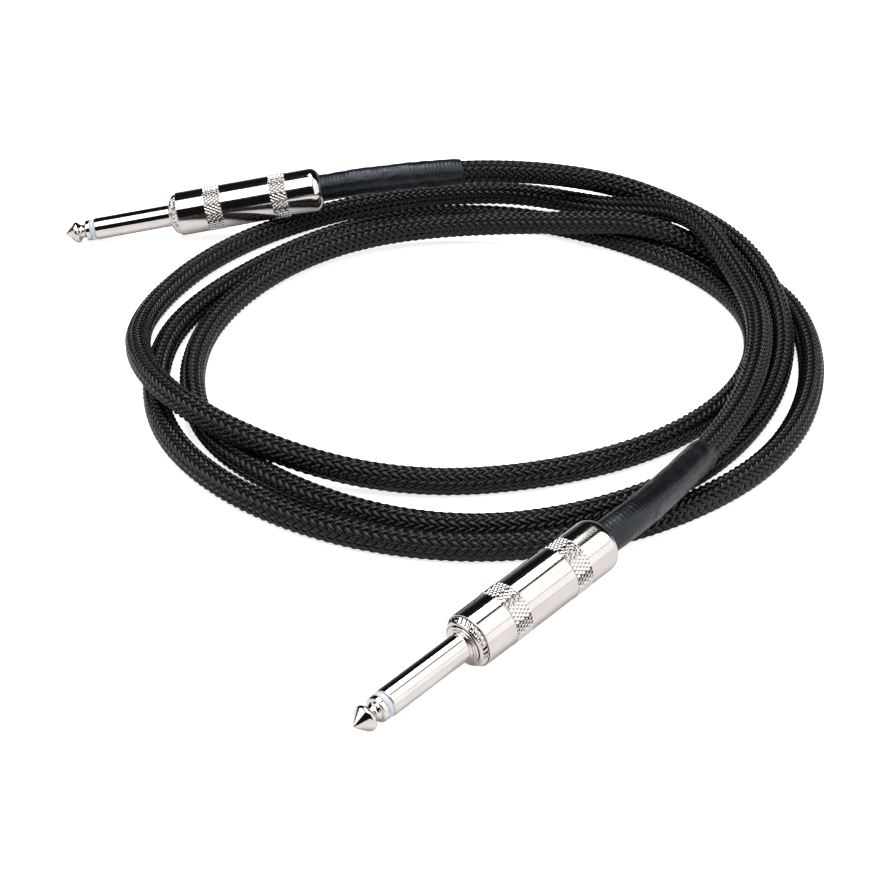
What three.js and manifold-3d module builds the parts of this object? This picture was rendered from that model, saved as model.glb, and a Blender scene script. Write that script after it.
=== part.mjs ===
// Instrument cable: two straight quarter-inch plugs joined by a woven-jacket cable
// that lies in a loose coil. Millimetres, +Z up, floor at Z = 0.
// The origin is on the floor, under the middle of the two plugs.
import * as THREE from 'three';
import { mergeVertices } from 'three/addons/utils/BufferGeometryUtils.js';
import Module from 'manifold-3d';

const wasm = await Module();
wasm.setup();

// ---------------------------------------------------------------- dimensions
const GAP = 0.3;                 // clearance between neighbouring pieces
const SIDES = 18;                // facets of the small round pieces
const HANDLE_SIDES = 24;         // facets of the handle

// Positions along the plug axis are measured from the apex of the tip.
const FINGER_R = 3.175;          // quarter-inch contact finger
const TIP_R = 3.05;              // widest part of the tip cone
const TIP_NECK_R = 1.83;         // waist that the jack's spring drops into
const TIP_COLLAR_R = 2.95;
const TIP_END = 7.7;
const RING_START = 8.0;          // pale insulating ring
const RING_END = 8.8;
const RING_R = 2.88;
const SLEEVE_START = 9.1;
const SHOULDER = 31.75;          // where the finger meets the stepped boss
const BOSS_R = 4.5;
const BOSS_END = 33.1;
const SLEEVE_BORE_R = 2.5;
const SHANK_R = 3.6;
const SHANK_END = 40.3;

const ROD_R = 1.15;              // centre rod that carries the tip
const ROD_START = 4.2;
const ROD_HEAD_R = 1.9;
const ROD_HEAD_START = 44.1;
const ROD_END = 45.0;
const INSULATOR_R = 2.2;         // tube between rod and sleeve
const INSULATOR_END = 41.6;

const BODY_FLANGE_R = 5.7;       // serrated flange in the mouth of the handle
const BODY_FLANGE_START = 33.4;
const COLLAR_START = 32.45;      // domed lip of the flange, standing round the boss
const COLLAR_BORE_R = 4.8;
const BODY_FLANGE_END = 34.9;
const BODY_TEETH = 16;
const BODY_THREAD_R = 5.15;
const BODY_END = 40.6;

const HANDLE_START = 34.1;
const HANDLE_END = 76.8;
const HANDLE_R = 6.38;
const KNURL_R = 6.46;
const KNURL_1 = [42.5, 47.3];
const KNURL_2 = [62.0, 66.8];
const HANDLE_MOUTH_R = 6.02;
const HANDLE_MOUTH_END = 35.3;
const HANDLE_BORE_R = 5.45;
const HANDLE_BACK_WALL = 74.3;
const HANDLE_HOLE_R = 4.4;
const HANDLE_ROUND = 3.0;        // radius of the rounded rear shoulder
const HANDLE_FACE_R = 4.7;

const LINER_R = 5.12;            // insulating tube inside the handle
const LINER_BORE_R = 4.86;
const LINER_START = 42.0;
const LINER_END = 73.6;

const LUG_START = 40.9;          // ground lug: washer, long strip and cable clamp
const LUG_T = 0.7;
const LUG_R = 4.45;
const STRIP_W = 3.4;
const STRIP_BOTTOM = 4.5;
const STRIP_TOP = 3.95;
const STRIP_END = 68.0;
const CLAMP_START = 62.6;
const CLAMP_END = 67.2;
const CLAMP_R = 4.4;
const CLAMP_BORE_R = 3.75;
const WASHER_START = 41.9;       // fibre washer between the two lugs
const WASHER_END = 42.9;
const WASHER_R = 3.55;
const TIP_LUG_START = 43.2;
const TIP_LUG_T = 0.6;
const TIP_LUG_R = 3.3;
const TIP_TAB_END = 51.0;
const TIP_TAB_W = 2.6;
const TIP_TAB_TOP = 3.3;
const TIP_TAB_BOTTOM = 2.75;

// The eight-sided cable sections are measured across their corners.
const CABLE_R = 3.3;             // woven jacket
const CABLE_BORE_R = 2.75;
const CORE_R = 2.4;              // rubber-covered core inside the woven jacket
const SHRINK_R = 4.0;            // heat-shrink sleeve behind each plug
const SHRINK_BORE_R = 3.65;
const CABLE_SIDES = 8;
const JACKET_CUT = 62.0;         // the woven jacket ends here inside the plug
const CORE_CUT = 60.0;

// Each plug lies with its tip on the floor and its handle raised on the coil.
const REAR_PLUG = { tip: [-75.27, 120.35, 2.46], yaw: 2.991, rise: 9.717 };
const FRONT_PLUG = { tip: [17.99, -130.26, 2.50], yaw: 45.482, rise: 8.881 };

// Centreline of the cable from inside the rear plug to inside the front plug.
const ROUTE = [
  [-16.21, 123.43, 12.59], [-14.24, 123.54, 12.93], [-8.34, 123.84, 13.94], [-4.40, 124.05, 14.61],
  [0.82, 124.33, 15.51], [5.44, 124.55, 16.32], [11.36, 125.08, 17.13], [18.24, 126.26, 17.60],
  [25.08, 127.74, 17.84], [32.85, 129.61, 17.87], [41.06, 131.60, 17.65], [46.48, 132.78, 17.37],
  [58.31, 134.56, 16.45], [88.27, 130.96, 13.29], [105.08, 118.75, 11.26], [118.56, 96.53, 10.62],
  [124.52, 77.63, 9.31], [126.86, 49.24, 5.37], [121.27, 19.74, 3.31], [110.50, -6.21, 3.25],
  [93.56, -28.87, 3.25], [71.19, -44.67, 3.26], [42.11, -51.70, 3.25], [14.97, -43.83, 3.25],
  [-10.13, -23.18, 3.25], [-17.32, -13.73, 3.25], [-27.21, 12.07, 3.25], [-28.96, 41.76, 3.24],
  [-22.26, 70.33, 3.54], [-6.85, 95.54, 4.43], [16.63, 113.58, 5.15], [47.51, 119.12, 6.27],
  [78.80, 113.62, 9.15], [93.38, 109.01, 10.17], [116.12, 95.19, 4.60], [128.05, 78.19, 3.22],
  [133.45, 52.20, 3.25], [132.78, 32.82, 3.25], [127.52, 7.20, 3.25], [114.21, -20.90, 3.25],
  [97.22, -39.41, 3.25], [71.02, -55.52, 3.25], [43.82, -60.67, 3.25], [17.58, -55.57, 3.25],
  [-4.15, -43.03, 3.25], [-21.80, -24.65, 3.25], [-33.35, -2.24, 3.25], [-38.49, 29.22, 3.25],
  [-36.02, 54.38, 3.25], [-26.84, 77.55, 3.25], [-12.15, 99.92, 3.25], [6.69, 118.93, 3.25],
  [32.04, 130.91, 3.36], [61.51, 128.70, 3.24], [88.45, 112.94, 3.24], [109.29, 89.02, 3.42],
  [118.46, 67.19, 3.26], [119.91, 46.88, 3.25], [114.23, 23.16, 3.25], [100.32, 0.36, 3.25],
  [80.07, -17.03, 3.25], [57.30, -26.97, 3.24], [34.49, -30.35, 3.67], [10.27, -27.64, 5.85],
  [-17.72, -13.83, 9.88], [-37.02, 11.33, 10.21], [-42.80, 28.59, 8.69], [-45.01, 52.33, 5.47],
  [-38.69, 83.18, 3.30], [-24.05, 109.71, 3.28], [-4.96, 128.99, 3.25], [13.48, 140.62, 3.24],
  [39.28, 146.99, 4.19], [59.04, 144.46, 5.21], [85.75, 127.55, 7.94], [106.49, 105.23, 14.69],
  [115.87, 79.54, 11.71], [119.94, 51.20, 10.27], [117.60, 25.08, 10.11], [110.82, -0.84, 10.30],
  [100.85, -25.68, 11.53], [97.41, -33.17, 12.31], [93.23, -41.88, 13.36], [89.65, -48.98, 14.20],
  [85.92, -56.02, 14.90], [82.48, -62.10, 15.38], [78.68, -67.97, 15.65], [74.81, -72.52, 15.18],
  [71.54, -75.80, 14.42], [67.87, -79.54, 13.61], [65.10, -82.36, 12.99], [60.94, -86.58, 12.07],
  [59.56, -87.99, 11.76],
];
const FIRST_JACKET = 1;          // stations at which the layers start, counted from each end
const SHRINK_FROM = 3, REAR_SHRINK_TO = 10, FRONT_SHRINK_TO = 11;

// ---------------------------------------------------------------- materials
const nickel = new THREE.MeshStandardMaterial({ color: 0xcfc9c3, metalness: 1, roughness: 0.14 });
const tinned = new THREE.MeshStandardMaterial({ color: 0xb9b7b0, metalness: 1, roughness: 0.35 });
const brass = new THREE.MeshStandardMaterial({ color: 0xc8a560, metalness: 1, roughness: 0.3 });
const solder = new THREE.MeshStandardMaterial({ color: 0xa9abad, metalness: 1, roughness: 0.4 });
const paleNylon = new THREE.MeshStandardMaterial({ color: 0xdfe3ec, metalness: 0, roughness: 0.35 });
const fibre = new THREE.MeshStandardMaterial({ color: 0x5a3d2a, metalness: 0, roughness: 0.75 });
const linerCard = new THREE.MeshStandardMaterial({ color: 0x1b1b1d, metalness: 0, roughness: 0.6 });
const weave = new THREE.MeshStandardMaterial({ color: 0x111112, metalness: 0, roughness: 0.7 });
const rubber = new THREE.MeshStandardMaterial({ color: 0x0d0d0e, metalness: 0, roughness: 0.8 });
const shrink = new THREE.MeshStandardMaterial({ color: 0x1c1e22, metalness: 0, roughness: 0.38 });
const coreWhite = new THREE.MeshStandardMaterial({ color: 0xe8e6df, metalness: 0, roughness: 0.5 });
const copper = new THREE.MeshStandardMaterial({ color: 0xb87348, metalness: 1, roughness: 0.35 });

// ---------------------------------------------------------------- helpers
function tidy(geometry) {
  const g = geometry.index ? geometry : geometry.clone();
  g.deleteAttribute('normal');
  g.deleteAttribute('uv');
  return mergeVertices(g, 1e-4);
}

// Drop collapsed triangles, and turn the faces outwards when they point in.
function closed(geometry) {
  const g = tidy(geometry);
  const p = g.attributes.position;
  const idx = g.index.array;
  const keep = [];
  let volume = 0;
  const a = new THREE.Vector3(), b = new THREE.Vector3(), c = new THREE.Vector3();
  for (let i = 0; i < idx.length; i += 3) {
    if (idx[i] === idx[i + 1] || idx[i + 1] === idx[i + 2] || idx[i] === idx[i + 2]) continue;
    a.fromBufferAttribute(p, idx[i]);
    b.fromBufferAttribute(p, idx[i + 1]);
    c.fromBufferAttribute(p, idx[i + 2]);
    volume += a.dot(b.clone().cross(c));
    keep.push(idx[i], idx[i + 1], idx[i + 2]);
  }
  if (volume < 0) for (let i = 0; i < keep.length; i += 3) [keep[i + 1], keep[i + 2]] = [keep[i + 2], keep[i + 1]];
  g.setIndex(keep);
  g.computeVertexNormals();
  return g;
}

// A piece turned about the plug axis, which is local +X. The profile is [along, radius].
function turned(profile, sides = SIDES) {
  const g = new THREE.LatheGeometry(profile.map(([s, r]) => new THREE.Vector2(r, s)), sides);
  g.rotateZ(-Math.PI / 2);
  return closed(g);
}

// A ring or tube: [along, radius] corners of the section, closed on itself.
function ring(section, sides = SIDES) {
  return turned([...section, section[0]], sides);
}

function tube(s0, s1, inner, outer, sides = SIDES) {
  return ring([[s0, inner], [s0, outer], [s1, outer], [s1, inner]], sides);
}

function box(s0, s1, y0, y1, z0, z1) {
  const g = new THREE.BoxGeometry(s1 - s0, y1 - y0, z1 - z0);
  g.translate((s0 + s1) / 2, (y0 + y1) / 2, (z0 + z1) / 2);
  return closed(g);
}

function solid(geometry) {
  const g = closed(geometry);
  return new wasm.Manifold(new wasm.Mesh({
    numProp: 3,
    vertProperties: new Float32Array(g.attributes.position.array),
    triVerts: new Uint32Array(g.index.array),
  }));
}

function fromSolid(s) {
  const m = s.getMesh();
  const g = new THREE.BufferGeometry();
  g.setAttribute('position', new THREE.BufferAttribute(new Float32Array(m.vertProperties), 3));
  g.setIndex(new THREE.BufferAttribute(new Uint32Array(m.triVerts), 1));
  return closed(g);
}

// A curve that passes through fixed stations, so that nested layers share their facets.
class StationCurve extends THREE.Curve {
  constructor(points, tangents, normals, binormals) {
    super();
    Object.assign(this, { points, tangents, normals, binormals });
  }
  getPoint(t) {
    const x = Math.min(Math.max(t, 0), 1) * (this.points.length - 1);
    const i = Math.min(Math.floor(x), this.points.length - 2);
    return this.points[i].clone().lerp(this.points[i + 1], x - i);
  }
  getSpacedPoints() {
    return this.points.map((p) => p.clone());
  }
  computeFrenetFrames() {
    return { tangents: this.tangents, normals: this.normals, binormals: this.binormals };
  }
}

const stations = ROUTE.map((p) => new THREE.Vector3(...p));
const frames = (() => {
  const n = stations.length;
  const tangents = stations.map((p, i) => {
    const before = stations[Math.max(i - 1, 0)], after = stations[Math.min(i + 1, n - 1)];
    const a = p.clone().sub(before), b = after.clone().sub(p);
    const t = new THREE.Vector3();
    if (a.lengthSq() > 0) t.add(a.normalize());
    if (b.lengthSq() > 0) t.add(b.normalize());
    return t.normalize();
  });
  const normals = [], binormals = [];
  for (let i = 0; i < n; i++) {
    const up = new THREE.Vector3(0, 0, 1);
    const side = up.cross(tangents[i]).normalize();
    normals.push(side);
    binormals.push(tangents[i].clone().cross(side).normalize());
  }
  return { tangents, normals, binormals };
})();

function alongRoute(from, to) {
  return new StationCurve(
    stations.slice(from, to + 1), frames.tangents.slice(from, to + 1),
    frames.normals.slice(from, to + 1), frames.binormals.slice(from, to + 1));
}

function polygon(radius, sides, Type = THREE.Shape) {
  const s = new Type();
  for (let k = 0; k < sides; k++) {
    const a = ((k + 0.5) / sides) * 2 * Math.PI;
    if (k === 0) s.moveTo(radius * Math.cos(a), radius * Math.sin(a));
    else s.lineTo(radius * Math.cos(a), radius * Math.sin(a));
  }
  s.closePath();
  return s;
}

function swept(curve, outer, inner = 0, sides = CABLE_SIDES) {
  const shape = polygon(outer, sides);
  if (inner > 0) shape.holes.push(polygon(inner, sides, THREE.Path));
  return closed(new THREE.ExtrudeGeometry(shape, {
    steps: curve.points.length - 1, bevelEnabled: false, extrudePath: curve,
  }));
}

// A short straight wire between two points in the plug's own frame.
function wire(from, to, radius, sides = 8) {
  const curve = new THREE.LineCurve3(new THREE.Vector3(...from), new THREE.Vector3(...to));
  return closed(new THREE.ExtrudeGeometry(polygon(radius, sides), { steps: 1, bevelEnabled: false, extrudePath: curve }));
}

// A shallow dome with its flat side on z = base; height may be negative.
function dome(s, base, radius, height) {
  const pts = [[0, 0]];
  for (let k = 0; k <= 4; k++) {
    const a = (k / 4) * Math.PI / 2;
    pts.push([height * Math.sin(a), k === 4 ? 0 : radius * Math.cos(a)]);
  }
  const g = new THREE.LatheGeometry(pts.map(([h, r]) => new THREE.Vector2(r, h)), 12);
  g.rotateX(Math.PI / 2);
  g.translate(s, 0, base);
  return closed(g);
}

// ---------------------------------------------------------------- plug pieces
function tipGeometry() {
  return turned([
    [0, 0], [0, 0.4], [2.9, 2.82], [3.35, TIP_R], [3.8, TIP_R - 0.12], [4.6, 2.2], [5.2, TIP_NECK_R],
    [5.8, TIP_NECK_R], [6.35, 2.35], [6.6, TIP_COLLAR_R], [TIP_END - 0.15, TIP_COLLAR_R], [TIP_END, TIP_COLLAR_R - 0.15],
    [TIP_END, ROD_R + GAP], [ROD_START - GAP, ROD_R + GAP], [ROD_START - GAP, 0],
  ]);
}

function rodGeometry() {
  return turned([[ROD_START, 0], [ROD_START, ROD_R], [ROD_HEAD_START, ROD_R], [ROD_HEAD_START, ROD_HEAD_R],
    [ROD_END - 0.3, ROD_HEAD_R], [ROD_END, ROD_HEAD_R - 0.6], [ROD_END, 0]], 16);
}

function sleeveGeometry() {
  return ring([
    [SLEEVE_START, SLEEVE_BORE_R], [SLEEVE_START, FINGER_R - 0.25], [SLEEVE_START + 0.25, FINGER_R],
    [SHOULDER, FINGER_R], [SHOULDER, BOSS_R], [BOSS_END, BOSS_R], [BOSS_END, SHANK_R], [SHANK_END, SHANK_R], [SHANK_END, SLEEVE_BORE_R],
  ]);
}

// The flange has a domed front with serrations round it, cut as shallow notches.
function bodyGeometry() {
  const bore = SHANK_R + GAP;
  const shell = ring([
    [BODY_FLANGE_START, bore], [BODY_FLANGE_START, COLLAR_BORE_R], [COLLAR_START, COLLAR_BORE_R],
    [COLLAR_START, COLLAR_BORE_R + 0.25], [COLLAR_START + 0.5, 5.5], [BODY_FLANGE_START + 0.2, BODY_FLANGE_R],
    [BODY_FLANGE_END, BODY_FLANGE_R],
    [BODY_FLANGE_END, BODY_THREAD_R], [BODY_END, BODY_THREAD_R], [BODY_END, bore],
  ], BODY_TEETH);
  let s = solid(shell);
  for (let k = 0; k < BODY_TEETH; k++) {
    const g = new THREE.BoxGeometry(0.7, 2.2, 0.42);
    g.translate(BODY_FLANGE_START + 0.05, BODY_FLANGE_R + 0.95, 0);
    g.rotateX((k / BODY_TEETH) * 2 * Math.PI);
    s = s.subtract(solid(g));
  }
  return fromSolid(s);
}

function handleGeometry() {
  const arc = [];
  for (let k = 1; k <= 4; k++) {
    const a = (k / 4) * Math.PI / 2;
    const drop = (HANDLE_R - HANDLE_FACE_R) * (1 - Math.cos(a));
    arc.push([HANDLE_END - HANDLE_ROUND + HANDLE_ROUND * Math.sin(a), HANDLE_R - drop]);
  }
  return ring([
    [HANDLE_START, HANDLE_MOUTH_R], [HANDLE_START, HANDLE_R - 0.15], [HANDLE_START + 0.15, HANDLE_R],
    [KNURL_1[0], HANDLE_R], [KNURL_1[0], KNURL_R], [KNURL_1[1], KNURL_R], [KNURL_1[1], HANDLE_R],
    [KNURL_2[0], HANDLE_R], [KNURL_2[0], KNURL_R], [KNURL_2[1], KNURL_R], [KNURL_2[1], HANDLE_R],
    [HANDLE_END - HANDLE_ROUND, HANDLE_R], ...arc,
    [HANDLE_END, HANDLE_HOLE_R], [HANDLE_BACK_WALL, HANDLE_HOLE_R], [HANDLE_BACK_WALL, HANDLE_BORE_R],
    [HANDLE_MOUTH_END, HANDLE_BORE_R], [HANDLE_MOUTH_END, HANDLE_MOUTH_R],
  ], HANDLE_SIDES);
}

function groundLugGeometry() {
  const washer = solid(tube(LUG_START, LUG_START + LUG_T, SLEEVE_BORE_R, LUG_R));
  const strip = solid(box(LUG_START + 0.1, STRIP_END, -STRIP_W / 2, STRIP_W / 2, -STRIP_BOTTOM + 0.15, -STRIP_TOP + 0.1));
  const wrap = solid(tube(CLAMP_START, CLAMP_END, CLAMP_BORE_R, CLAMP_R))
    .subtract(solid(box(CLAMP_START - 1, CLAMP_END + 1, -6, 6, 1.4, 6)));
  return fromSolid(washer.add(strip).add(wrap));
}

function tipLugGeometry() {
  const washer = solid(tube(TIP_LUG_START, TIP_LUG_START + TIP_LUG_T, ROD_R + GAP, TIP_LUG_R));
  const tab = solid(box(TIP_LUG_START + 0.1, TIP_TAB_END, -TIP_TAB_W / 2, TIP_TAB_W / 2, TIP_TAB_BOTTOM, TIP_TAB_TOP));
  return fromSolid(washer.add(tab));
}

const group = new THREE.Group();

function place(parent, name, geometry, material) {
  const mesh = new THREE.Mesh(geometry, material);
  mesh.name = name;
  parent.add(mesh);
}

function makePlug(side, pose) {
  const heading = new THREE.Group();
  heading.position.set(...pose.tip);
  heading.rotation.z = THREE.MathUtils.degToRad(pose.yaw);
  const plug = new THREE.Group();
  plug.rotation.y = -THREE.MathUtils.degToRad(pose.rise);
  heading.add(plug);
  group.add(heading);
  const add = (name, geometry, material) => place(plug, `${side}_${name}`, geometry, material);

  add('tip', tipGeometry(), nickel);
  add('tip_insulator_ring', tube(RING_START, RING_END, ROD_R + GAP, RING_R), paleNylon);
  add('centre_rod', rodGeometry(), brass);
  add('rod_insulator_tube', tube(SLEEVE_START, INSULATOR_END, ROD_R + GAP, INSULATOR_R, 16), paleNylon);
  add('sleeve_barrel', sleeveGeometry(), nickel);
  add('threaded_body', bodyGeometry(), nickel);
  add('ground_lug', groundLugGeometry(), tinned);
  add('lug_washer', tube(WASHER_START, WASHER_END, ROD_R + GAP, WASHER_R, 16), fibre);
  add('tip_lug', tipLugGeometry(), tinned);
  add('handle', handleGeometry(), nickel);
  add('liner_tube', tube(LINER_START, LINER_END, LINER_BORE_R, LINER_R), linerCard);
  add('tip_solder', dome(49.4, TIP_TAB_BOTTOM - GAP, 1.1, -0.7), solder);
  add('ground_solder', dome(52.5, -STRIP_TOP + 0.1 + GAP, 1.4, 0.7), solder);
  add('core_insulation', wire([59.7, 0, 0], [53.2, 0, 0.5], 1.2), coreWhite);
  add('core_conductor', wire([52.8, 0, 0.55], [48.6, 0, 1.15], 0.42, 6), copper);
  add('shield_pigtail', wire([59.5, 0, -2.0], [54.6, 0, -2.85], 0.55, 6), copper);
}

makePlug('rear', REAR_PLUG);
makePlug('front', FRONT_PLUG);

// ---------------------------------------------------------------- cable
const LAST = stations.length - 1;
place(group, 'woven_jacket', swept(alongRoute(FIRST_JACKET, LAST - FIRST_JACKET), CABLE_R, CABLE_BORE_R), weave);
place(group, 'cable_core', swept(alongRoute(0, LAST), CORE_R), rubber);
place(group, 'rear_heat_shrink', swept(alongRoute(SHRINK_FROM, REAR_SHRINK_TO), SHRINK_R, SHRINK_BORE_R), shrink);
place(group, 'front_heat_shrink', swept(alongRoute(LAST - FRONT_SHRINK_TO, LAST - SHRINK_FROM), SHRINK_R, SHRINK_BORE_R), shrink);

export default group;
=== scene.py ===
"""The looks of the instrument cable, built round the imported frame. Millimetre figures are turned to metres by MM."""

import math

import bpy
import numpy as np
from mathutils import Matrix, Vector


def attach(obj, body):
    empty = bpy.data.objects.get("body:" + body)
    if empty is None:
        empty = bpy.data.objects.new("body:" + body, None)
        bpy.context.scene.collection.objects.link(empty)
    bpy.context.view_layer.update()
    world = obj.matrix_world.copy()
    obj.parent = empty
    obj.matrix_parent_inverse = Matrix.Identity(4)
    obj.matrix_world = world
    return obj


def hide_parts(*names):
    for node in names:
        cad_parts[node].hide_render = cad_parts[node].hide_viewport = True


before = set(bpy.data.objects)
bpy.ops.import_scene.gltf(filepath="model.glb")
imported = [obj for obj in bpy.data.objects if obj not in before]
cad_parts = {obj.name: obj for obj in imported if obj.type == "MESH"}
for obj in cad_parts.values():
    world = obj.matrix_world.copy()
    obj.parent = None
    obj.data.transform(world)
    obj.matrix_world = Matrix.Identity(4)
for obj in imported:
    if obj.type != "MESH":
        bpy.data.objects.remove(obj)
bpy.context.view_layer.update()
MM = 0.001

# ------------------------------------------------------------------ camera
camera = bpy.data.objects.new("camera", bpy.data.cameras.new("camera"))
bpy.context.scene.collection.objects.link(camera)
camera.location = (0.036749, -0.531299, 0.285411)
camera.rotation_euler = (math.radians(61.5), 0.0, 0.0)
camera.data.lens = 96.93
camera.data.sensor_width = 36.0
camera.data.clip_start = 0.01
camera.data.clip_end = 50.0
bpy.context.scene.camera = camera

# ------------------------------------------------------------------ sizes shared with the CAD, mm
REAR = {"tip": (-75.27, 120.35, 2.46), "yaw": 2.991, "rise": 9.717}
FRONT = {"tip": (17.99, -130.26, 2.50), "yaw": 45.482, "rise": 8.881}
ROUTE = [
    (-16.21, 123.43, 12.59), (-14.24, 123.54, 12.93), (-8.34, 123.84, 13.94), (-4.40, 124.05, 14.61),
    (0.82, 124.33, 15.51), (5.44, 124.55, 16.32), (11.36, 125.08, 17.13), (18.24, 126.26, 17.60),
    (25.08, 127.74, 17.84), (32.85, 129.61, 17.87), (41.06, 131.60, 17.65), (46.48, 132.78, 17.37),
    (58.31, 134.56, 16.45), (88.27, 130.96, 13.29), (105.08, 118.75, 11.26), (118.56, 96.53, 10.62),
    (124.52, 77.63, 9.31), (126.86, 49.24, 5.37), (121.27, 19.74, 3.31), (110.50, -6.21, 3.25),
    (93.56, -28.87, 3.25), (71.19, -44.67, 3.26), (42.11, -51.70, 3.25), (14.97, -43.83, 3.25),
    (-10.13, -23.18, 3.25), (-17.32, -13.73, 3.25), (-27.21, 12.07, 3.25), (-28.96, 41.76, 3.24),
    (-22.26, 70.33, 3.54), (-6.85, 95.54, 4.43), (16.63, 113.58, 5.15), (47.51, 119.12, 6.27),
    (78.80, 113.62, 9.15), (93.38, 109.01, 10.17), (116.12, 95.19, 4.60), (128.05, 78.19, 3.22),
    (133.45, 52.20, 3.25), (132.78, 32.82, 3.25), (127.52, 7.20, 3.25), (114.21, -20.90, 3.25),
    (97.22, -39.41, 3.25), (71.02, -55.52, 3.25), (43.82, -60.67, 3.25), (17.58, -55.57, 3.25),
    (-4.15, -43.03, 3.25), (-21.80, -24.65, 3.25), (-33.35, -2.24, 3.25), (-38.49, 29.22, 3.25),
    (-36.02, 54.38, 3.25), (-26.84, 77.55, 3.25), (-12.15, 99.92, 3.25), (6.69, 118.93, 3.25),
    (32.04, 130.91, 3.36), (61.51, 128.70, 3.24), (88.45, 112.94, 3.24), (109.29, 89.02, 3.42),
    (118.46, 67.19, 3.26), (119.91, 46.88, 3.25), (114.23, 23.16, 3.25), (100.32, 0.36, 3.25),
    (80.07, -17.03, 3.25), (57.30, -26.97, 3.24), (34.49, -30.35, 3.67), (10.27, -27.64, 5.85),
    (-17.72, -13.83, 9.88), (-37.02, 11.33, 10.21), (-42.80, 28.59, 8.69), (-45.01, 52.33, 5.47),
    (-38.69, 83.18, 3.30), (-24.05, 109.71, 3.28), (-4.96, 128.99, 3.25), (13.48, 140.62, 3.24),
    (39.28, 146.99, 4.19), (59.04, 144.46, 5.21), (85.75, 127.55, 7.94), (106.49, 105.23, 14.69),
    (115.87, 79.54, 11.71), (119.94, 51.20, 10.27), (117.60, 25.08, 10.11), (110.82, -0.84, 10.30),
    (100.85, -25.68, 11.53), (97.41, -33.17, 12.31), (93.23, -41.88, 13.36), (89.65, -48.98, 14.20),
    (85.92, -56.02, 14.90), (82.48, -62.10, 15.38), (78.68, -67.97, 15.65), (74.81, -72.52, 15.18),
    (71.54, -75.80, 14.42), (67.87, -79.54, 13.61), (65.10, -82.36, 12.99), (60.94, -86.58, 12.07),
    (59.56, -87.99, 11.76),
]
JACKET_CUT = 62.0      # along the plug axis, where the jacket ends inside the plug
SHRINK_STATIONS = (3, 10, 11)   # where both sleeves start, where the rear one ends, where the front one ends
CORD_R = 3.40          # crest of the woven jacket
CORE_R = 2.75
FLOOR_Z = 0.0


# ------------------------------------------------------------------ small mesh helpers
def add_object(name, data):
    o = bpy.data.objects.new(name, data)
    bpy.context.scene.collection.objects.link(o)
    return o


def make_mesh(name, verts, faces, attributes=None, sharp_deg=None):
    """A mesh object from arrays. verts are in metres; faces are rows of corners, all of one size, or a list of such arrays."""
    groups = faces if isinstance(faces, list) else [faces]
    groups = [np.asarray(f, np.int32) for f in groups if len(f)]
    me = bpy.data.meshes.new(name)
    v = np.ascontiguousarray(verts, np.float32)
    me.vertices.add(len(v))
    me.vertices.foreach_set("co", v.ravel())
    corners = np.concatenate([f.ravel() for f in groups])
    counts = np.concatenate([np.full(len(f), f.shape[1], np.int32) for f in groups])
    starts = np.concatenate([[0], np.cumsum(counts)[:-1]]).astype(np.int32)
    me.loops.add(len(corners))
    me.loops.foreach_set("vertex_index", corners)
    me.polygons.add(len(counts))
    me.polygons.foreach_set("loop_start", starts)
    me.polygons.foreach_set("loop_total", counts)
    me.polygons.foreach_set("use_smooth", np.ones(len(counts), bool))
    me.update(calc_edges=True)
    me.validate()
    for key, values in (attributes or {}).items():
        a = me.attributes.new(key, "FLOAT_VECTOR", "POINT")
        a.data.foreach_set("vector", np.ascontiguousarray(values, np.float32).ravel())
    if sharp_deg is not None:
        me.set_sharp_from_angle(angle=math.radians(sharp_deg))
    return add_object(name, me)


def grid_faces(rows, cols, wrap=False, start=0):
    """Quads between rows of points. With wrap the last column joins the first."""
    i = np.arange(rows - 1)[:, None]
    j = np.arange(cols if wrap else cols - 1)[None, :]
    k = (j + 1) % cols
    a, b, c, d = i * cols + j, i * cols + k, (i + 1) * cols + k, (i + 1) * cols + j
    return np.stack([a, b, c, d], -1).reshape(-1, 4) + start


# ------------------------------------------------------------------ materials
def new_material(name):
    m = bpy.data.materials.new(name)
    m.use_nodes = True
    t = m.node_tree
    t.nodes.clear()
    out = t.nodes.new("ShaderNodeOutputMaterial")
    p = t.nodes.new("ShaderNodeBsdfPrincipled")
    t.links.new(p.outputs["BSDF"], out.inputs["Surface"])
    return m, t, p


def node(t, kind, **settings):
    n = t.nodes.new(kind)
    for k, v in settings.items():
        if k.startswith("in_"):
            key = k[3:]
            n.inputs[int(key) if key.isdigit() else key.replace("_", " ")].default_value = v
        else:
            setattr(n, k, v)
    return n


def mathn(t, op, a, b=None, c=None, clamp=False):
    n = t.nodes.new("ShaderNodeMath")
    n.operation = op
    n.use_clamp = clamp
    for i, x in enumerate((a, b, c)):
        if x is None:
            continue
        if isinstance(x, (int, float)):
            n.inputs[i].default_value = x
        else:
            t.links.new(x, n.inputs[i])
    return n.outputs[0]


def remap(t, value, lo, hi, a=0.0, b=1.0):
    n = t.nodes.new("ShaderNodeMapRange")
    n.inputs["From Min"].default_value = lo
    n.inputs["From Max"].default_value = hi
    n.inputs["To Min"].default_value = a
    n.inputs["To Max"].default_value = b
    t.links.new(value, n.inputs["Value"])
    return n.outputs["Result"]


def attr(t, name):
    n = node(t, "ShaderNodeAttribute", attribute_name=name)
    n.attribute_type = "GEOMETRY"
    return n.outputs["Vector"]


def scaled(t, vector, sx, sy, sz):
    n = node(t, "ShaderNodeMapping")
    n.inputs["Scale"].default_value = (sx, sy, sz)
    t.links.new(vector, n.inputs["Vector"])
    return n.outputs["Vector"]


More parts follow.
